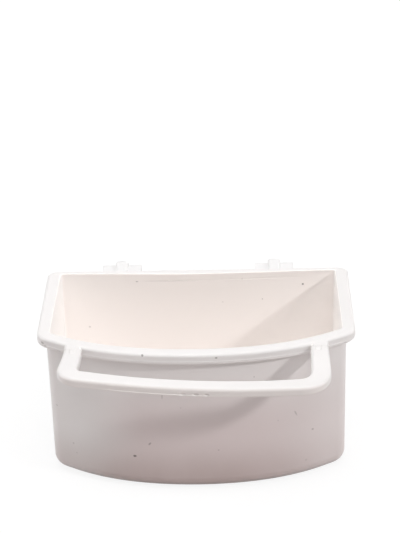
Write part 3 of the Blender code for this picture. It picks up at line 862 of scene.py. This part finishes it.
BACK_SPECKS = (
    ((-0.0298, 0.0716), 0.0009, 0.0004, 0, 0.42),
    ((-0.0140, 0.0719), 0.0190, 0.00028, 0, 0.20),
    ((0.0300, 0.0727), 0.0240, 0.00022, -2, 0.08),
    ((0.0514, 0.0684), 0.0007, 0.0007, 0, 0.70),
    ((0.0315, 0.0608), 0.0005, 0.0005, 0, 0.34),
    ((0.0120, 0.0597), 0.0006, 0.0006, 0, 0.14),
    ((-0.0540, 0.0465), 0.0008, 0.0007, 0, 0.24),
    ((0.0217, 0.0724), 0.0006, 0.0007, 0, 0.16),
)
SPECK_DEPTH = 0.0018  # reach of a speck's mark into the wall
SPECK_CORE = 0.35  # share of a speck that is full dark
SPECK_WANDER = 0.0002  # unevenness of a speck's edge
SPECK_WANDER_SCALE = 1400.0


def add_node(tree, kind, inputs, **settings):
    """A node with its settings, and each input linked to an output or set to a value."""
    node = tree.nodes.new(kind)
    for name, value in settings.items():
        setattr(node, name, value)
    for socket, value in inputs.items():
        if isinstance(value, bpy.types.NodeSocket):
            tree.links.new(value, node.inputs[socket])
        else:
            node.inputs[socket].default_value = value
    return node


def noise(tree, where, scale, detail):
    inputs = {"Vector": where, "Scale": scale, "Detail": detail}
    return add_node(tree, "ShaderNodeTexNoise", inputs).outputs[0]


def remap(tree, value, low, high, to_low, to_high):
    """A value between two limits, eased to lie between two others."""
    inputs = {"Value": value, "From Min": low, "From Max": high, "To Min": to_low, "To Max": to_high}
    return add_node(tree, "ShaderNodeMapRange", inputs, interpolation_type="SMOOTHSTEP").outputs[0]


def mix_colours(tree, share, first, second):
    inputs = {0: share, 6: first, 7: second}
    return add_node(tree, "ShaderNodeMix", inputs, data_type="RGBA").outputs[2]


def larger(tree, first, second):
    return add_node(tree, "ShaderNodeMath", {0: first, 1: second}, operation="MAXIMUM").outputs[0]


def times(tree, first, second):
    return add_node(tree, "ShaderNodeMath", {0: first, 1: second}, operation="MULTIPLY").outputs[0]


def stretched(tree, where, turn, scale):
    """Coordinates turned and stretched, so that a noise read from them makes streaks."""
    inputs = {"Vector": where, "Rotation": turn, "Scale": scale}
    return add_node(tree, "ShaderNodeMapping", inputs).outputs[0]


def new_finish(name):
    """A material with its Principled shader and its object coordinates."""
    look = bpy.data.materials.new(name)
    look.use_nodes = True
    tree = look.node_tree
    where = add_node(tree, "ShaderNodeTexCoord", {}).outputs["Object"]
    return look, tree, tree.nodes["Principled BSDF"], where


def bump(tree, height, distance, strength, under=None):
    inputs = {"Height": height, "Distance": distance, "Strength": strength}
    if under:
        inputs["Normal"] = under
    return add_node(tree, "ShaderNodeBump", inputs).outputs[0]


def placed_specks():
    """(middle, half sizes, tilt, strength) of each dirt speck on the cup."""
    rows = []
    for specks, face in ((FRONT_SPECKS, WALL), (RIM_SPECKS, RIM_WIDTH), (BACK_SPECKS, None)):
        for (x, z), half_width, half_height, tilt, strength in specks:
            y = inner_back(x, z) if face is None else front_face(x, face, z)
            size = (half_width, SPECK_DEPTH, half_height)
            rows.append(((x, y, z), size, (0.0, radians(tilt), 0.0), strength))
    return rows


def speck_mask(tree, where):
    """How dirty each point of the cup is: specks at their places, with uneven edges."""
    inputs = {"Vector": where, "Scale": SPECK_WANDER_SCALE}
    wander = add_node(tree, "ShaderNodeTexNoise", inputs).outputs["Color"]
    shift = {0: wander, 1: (2 * SPECK_WANDER,) * 3, 2: (-SPECK_WANDER,) * 3}
    offset = add_node(tree, "ShaderNodeVectorMath", shift, operation="MULTIPLY_ADD").outputs[0]
    where = add_node(tree, "ShaderNodeVectorMath", {0: where, 1: offset}, operation="ADD").outputs[0]
    mask = None
    for middle, size, turn, strength in placed_specks():
        inputs = {"Vector": where, "Location": middle, "Rotation": turn, "Scale": size}
        local = add_node(tree, "ShaderNodeMapping", inputs, vector_type="TEXTURE").outputs[0]
        away = add_node(tree, "ShaderNodeVectorMath", {0: local}, operation="LENGTH").outputs["Value"]
        speck = remap(tree, away, SPECK_CORE, 1.0, strength, 0.0)
        mask = speck if mask is None else larger(tree, mask, speck)
    return mask


def painted_light_share(tree, where):
    """1 on faces that look into the cup, and 0 on those that look out of it or up: where the inside's
    painted light goes.
    """
    facing = add_node(tree, "ShaderNodeTexCoord", {}).outputs["Normal"]
    spread = {0: where, 1: CUP_MIDDLE}
    from_middle = add_node(tree, "ShaderNodeVectorMath", spread, operation="SUBTRACT").outputs[0]
    pair = {0: facing, 1: from_middle}
    outwards = add_node(tree, "ShaderNodeVectorMath", pair, operation="DOT_PRODUCT").outputs["Value"]
    return remap(tree, outwards, *INSIDE_LEVELS, 1.0, 0.0)


def facing_share(tree, axis):
    """1 on faces that look along this axis either way, and 0 on the others."""
    facing = add_node(tree, "ShaderNodeTexCoord", {}).outputs["Normal"]
    along = add_node(tree, "ShaderNodeSeparateXYZ", {0: facing}).outputs[axis]
    size = add_node(tree, "ShaderNodeMath", {0: along}, operation="ABSOLUTE").outputs[0]
    return remap(tree, size, *FACING_LEVELS, 0.0, 1.0)


def painted_outside_shade(tree, where, colour):
    """The wall's colour with painted shade: pink-tinted over its bowed front, deeper towards its foot, and
    darkest along the base edge.
    """
    place = add_node(tree, "ShaderNodeSeparateXYZ", {0: where}).outputs
    out_front = remap(tree, place["Y"], *FRONT_SHADE_Y, 1.0, 0.0)
    below_rim = remap(tree, place["Z"], *FRONT_SHADE_Z, 1.0, 0.0)
    from_left = remap(tree, place["X"], *FRONT_SHADE_LEFT, 0.0, 1.0)
    to_right = remap(tree, place["X"], *FRONT_SHADE_RIGHT, 1.0, FRONT_SHADE_AT_RIGHT_END)
    # painted shade over the front, pink-tinted, fading out towards the rim and the left end and weaker at
    # the right end
    front_shade = times(tree, times(tree, out_front, below_rim), times(tree, from_left, to_right))
    colour = mix_colours(tree, front_shade, colour, FRONT_PAINTED_SHADE)
    # painted shade that deepens towards the foot, made uneven by a noise and weaker towards the ends
    uneven = noise(tree, stretched(tree, where, NO_TURN, FOOT_SHADE_SCALE), 1.0, 3.0)
    reach = remap(tree, place["Y"], *FOOT_SHADE_Y, 1.0, FOOT_SHADE_AT_ENDS)
    reach = times(tree, reach, remap(tree, place["X"], *FOOT_SHADE_RIGHT, 1.0, FOOT_SHADE_AT_ENDS))
    foot = times(tree, remap(tree, place["Z"], *FOOT_SHADE_Z, FOOT_SHADE_STRENGTH, 0.0), reach)
    foot = times(tree, foot, remap(tree, uneven, *NEARLY_ALL_OF_NOISE, FOOT_SHADE_THINNEST, 1.0))
    colour = mix_colours(tree, foot, colour, FOOT_PAINTED_SHADE)
    # painted shadow along the base's bottom edge
    edge = remap(tree, place["Z"], *BASE_EDGE_SHADOW_Z, BASE_EDGE_SHADOW_STRENGTH, 0.0)
    return mix_colours(tree, edge, colour, BASE_EDGE_PAINTED_SHADOW)


def plastic(name, colours, roughness, of_cup):
    """Off-white moulded plastic: faint mottling, scattered specks, scuffs and a fine moulded grain; on the
    cup, painted light inside and painted shade outside, elsewhere painted shade on upright faces.
    """
    look, tree, shader, where = new_finish(name)
    mottle = remap(tree, noise(tree, where, MOTTLE_SCALE, 3.0), *MOST_OF_NOISE, 0.0, 1.0)
    colour = mix_colours(tree, mottle, *colours)
    inputs = {"Vector": where, "Scale": DUST_SCALE}
    scatter = add_node(tree, "ShaderNodeTexVoronoi", inputs).outputs["Distance"]
    dirt = remap(tree, scatter, *DUST_SIZE, DUST_STRENGTH, 0.0)
    if of_cup:
        colour = painted_outside_shade(tree, where, colour)
        # painted light over the inside of the cup, whiter on its side walls
        inside = mix_colours(tree, facing_share(tree, "X"), INSIDE_PAINTED_LIGHT, INSIDE_ENDS_PAINTED_LIGHT)
        colour = mix_colours(tree, painted_light_share(tree, where), colour, inside)
        dirt = larger(tree, dirt, speck_mask(tree, where))
    else:
        # painted shade on upright faces that look forward or back
        colour = mix_colours(tree, facing_share(tree, "Y"), colour, UPRIGHT_FACE_PAINTED_SHADE)
    colour = mix_colours(tree, dirt, colour, SPECK_COLOUR)
    tree.links.new(colour, shader.inputs["Base Color"])
    streaks = noise(tree, stretched(tree, where, SCUFF_TURN, SCUFF_SCALE), 1.0, 2.0)
    scuffs = remap(tree, streaks, *SCUFF_LEVELS, 0.0, 1.0)
    limits = (roughness - RUB_ROUGHNESS, roughness + RUB_ROUGHNESS)
    rub = remap(tree, noise(tree, where, RUB_SCALE, 4.0), *RUB_LEVELS, *limits)
    inputs = {0: scuffs, 1: SCUFF_ROUGHNESS, 2: rub}
    worn = add_node(tree, "ShaderNodeMath", inputs, operation="MULTIPLY_ADD").outputs[0]
    tree.links.new(worn, shader.inputs["Roughness"])
    ripple = bump(tree, noise(tree, where, RIPPLE_SCALE, 1.0), *RIPPLE_BUMP)
    grain = bump(tree, noise(tree, where, GRAIN_SCALE, 2.0), *GRAIN_BUMP, ripple)
    tree.links.new(bump(tree, scuffs, *SCUFF_BUMP, grain), shader.inputs["Normal"])
    shader.inputs["IOR"].default_value = PLASTIC_IOR
    return look


def steel(name):
    """Drawn steel wire, with streaks along the pin."""
    look, tree, shader, where = new_finish(name)
    streaks = noise(tree, stretched(tree, where, NO_TURN, DRAWN_SCALE), 1.0, 3.0)
    drawn = remap(tree, streaks, *MOST_OF_NOISE, 0.0, 1.0)
    tree.links.new(mix_colours(tree, drawn, STEEL_COLOUR, STEEL_SHADE), shader.inputs["Base Color"])
    rough = remap(tree, streaks, *NEARLY_ALL_OF_NOISE, *STEEL_ROUGHNESS)
    tree.links.new(rough, shader.inputs["Roughness"])
    tree.links.new(bump(tree, streaks, *DRAWN_BUMP), shader.inputs["Normal"])
    shader.inputs["Metallic"].default_value = 1.0
    return look


# Stage: a plain white floor and surround, and soft light
FLOOR_SIZE = 6.0
FLOOR_DROP = 0.0002
FLOOR_GLOW = 0.86  # what the camera sees of the floor in full shadow, near the object
FLOOR_WHITE_FROM = 0.25  # further off the floor fades to the surround's white
FLOOR_WHITE_AT = 1.0
FLOOR_SEEN = (0.16, 0.16, 0.16, 1.0)  # what light adds to that
FLOOR_COLOUR = (0.70, 0.65, 0.64, 1.0)  # what bounces light to the object
SURROUND_STRENGTH = 0.02
SURROUND_COLOUR = (1.0, 0.98, 0.98, 1.0)
SOFTBOX_AIM = (0.0, 0.0, 0.04)
SOFTBOXES = (  # name, place, size, power
    ("left_softbox", (-0.90, 0.05, 0.45), 0.8, 4.15),
    ("right_softbox", (0.90, 0.05, 0.45), 0.8, 2.2),
    ("overhead_softbox", (0.0, 0.10, 0.95), 0.9, 5.9),
    ("front_softbox", (0.0, -0.75, 0.90), 0.8, 3.15),
)
KEY_PLACE = (0.0, 0.0, 1.0)  # a sun lights the same from anywhere
KEY_TRAVEL = (-1.62, 1.0, -1.23)  # the way that its light goes
KEY_STRENGTH = 1.0
KEY_SPREAD = radians(5.5)


def seen_directly(tree):
    """1 for rays from the camera, reflections and refractions, and 0 for the light that bounces."""
    path = add_node(tree, "ShaderNodeLightPath", {}).outputs
    seen = larger(tree, path["Is Camera Ray"], path["Is Glossy Ray"])
    return larger(tree, seen, path["Is Transmission Ray"])


def make_floor():
    look = bpy.data.materials.new("floor_white")
    look.use_nodes = True
    tree = look.node_tree
    tree.nodes.remove(tree.nodes["Principled BSDF"])
    bounce = add_node(tree, "ShaderNodeBsdfDiffuse", {"Color": FLOOR_COLOUR}).outputs[0]
    lit = add_node(tree, "ShaderNodeBsdfDiffuse", {"Color": FLOOR_SEEN}).outputs[0]
    where = add_node(tree, "ShaderNodeTexCoord", {}).outputs["Object"]
    away = add_node(tree, "ShaderNodeVectorMath", {0: where}, operation="LENGTH").outputs["Value"]
    white = remap(tree, away, FLOOR_WHITE_FROM, FLOOR_WHITE_AT, FLOOR_GLOW, 1.0)
    glow = add_node(tree, "ShaderNodeEmission", {"Strength": white}).outputs[0]
    seen = add_node(tree, "ShaderNodeAddShader", {0: lit, 1: glow}).outputs[0]
    mixed = add_node(tree, "ShaderNodeMixShader", {0: seen_directly(tree), 1: bounce, 2: seen}).outputs[0]
    tree.links.new(mixed, tree.nodes["Material Output"].inputs["Surface"])
    half = FLOOR_SIZE / 2
    mesh = bpy.data.meshes.new("floor")
    corners = [(-half, -half), (half, -half), (half, half), (-half, half)]
    mesh.from_pydata([(x, y, -FLOOR_DROP) for x, y in corners], [], [(0, 1, 2, 3)])
    mesh.materials.append(look)
    floor = bpy.data.objects.new("floor", mesh)
    bpy.context.scene.collection.objects.link(floor)


def make_surround():
    world = bpy.data.worlds.new("surround")
    world.use_nodes = True
    bpy.context.scene.world = world
    tree = world.node_tree
    fill = tree.nodes["Background"]
    fill.inputs["Color"].default_value = SURROUND_COLOUR
    fill.inputs["Strength"].default_value = SURROUND_STRENGTH
    white = add_node(tree, "ShaderNodeBackground", {"Color": WHITE, "Strength": 1.0})
    inputs = {0: seen_directly(tree), 1: fill.outputs[0], 2: white.outputs[0]}
    mixed = add_node(tree, "ShaderNodeMixShader", inputs).outputs[0]
    tree.links.new(mixed, tree.nodes["World Output"].inputs["Surface"])


def add_lamp(name, kind, place, travel, power):
    lamp = bpy.data.lights.new(name, kind)
    lamp.energy = power
    holder = bpy.data.objects.new(name, lamp)
    holder.location = place
    holder.rotation_euler = travel.to_track_quat("-Z", "Y").to_euler()
    holder.visible_camera = False
    bpy.context.scene.collection.objects.link(holder)
    return lamp


def make_light():
    for name, place, size, power in SOFTBOXES:
        softbox = add_lamp(name, "AREA", place, Vector(SOFTBOX_AIM) - Vector(place), power)
        softbox.size = size
    key = add_lamp("key", "SUN", KEY_PLACE, Vector(KEY_TRAVEL), KEY_STRENGTH)
    key.angle = KEY_SPREAD


# Camera, as the photograph was taken. Its frame is 400 by 533 pixels.
FRAME_WIDTH = 400
FRAME_HEIGHT = 533
FOCAL_PIXELS = 2600
CAMERA_ELEVATION = radians(27.0)
CAMERA_YAW = radians(1.516)
CAMERA_ROLL = radians(1.639)
CAMERA_DISTANCE = 1.2024  # along the view, to the middle of the mouth's front edge
AIM_PIXEL = (195.14, 348.55)  # where that point lies in the frame
SENSOR_WIDTH = 36.0


def make_camera():
    lens = bpy.data.cameras.new("camera")
    lens.sensor_width = SENSOR_WIDTH
    lens.lens = SENSOR_WIDTH * FOCAL_PIXELS / FRAME_HEIGHT
    camera = bpy.data.objects.new("camera", lens)
    bpy.context.scene.collection.objects.link(camera)
    turn = Matrix.Rotation(CAMERA_YAW, 3, "Z") @ Matrix.Rotation(pi / 2 - CAMERA_ELEVATION, 3, "X")
    turn = turn @ Matrix.Rotation(-CAMERA_ROLL, 3, "Z")
    metres_per_pixel = CAMERA_DISTANCE / FOCAL_PIXELS
    right = (AIM_PIXEL[0] - FRAME_WIDTH / 2) * metres_per_pixel
    up = (FRAME_HEIGHT / 2 - AIM_PIXEL[1]) * metres_per_pixel
    aim = Vector((0.0, -MOUTH_DEPTH / 2, CUP_HEIGHT))
    place = aim - turn @ Vector((right, up, -CAMERA_DISTANCE))
    camera.matrix_world = Matrix.Translation(place) @ turn.to_4x4()
    bpy.context.scene.camera = camera


def main():
    make_cup(plastic("cup_plastic_look", PLASTIC_COLOURS, CUP_ROUGHNESS, True))
    make_bar(plastic("bar_plastic_look", PLASTIC_COLOURS, BAR_ROUGHNESS, False))
    hook_look = plastic("hook_plastic_look", HOOK_COLOURS, HOOK_ROUGHNESS, False)
    pin_look = steel("pin_steel_look")
    for side, word in ((LEFT, "left"), (RIGHT, "right")):
        make_pin(word, side, pin_look)
        make_hook(word, side, hook_look)
    make_floor()
    make_surround()
    make_light()
    make_camera()
    bpy.context.scene.view_settings.view_transform = "Standard"


main()
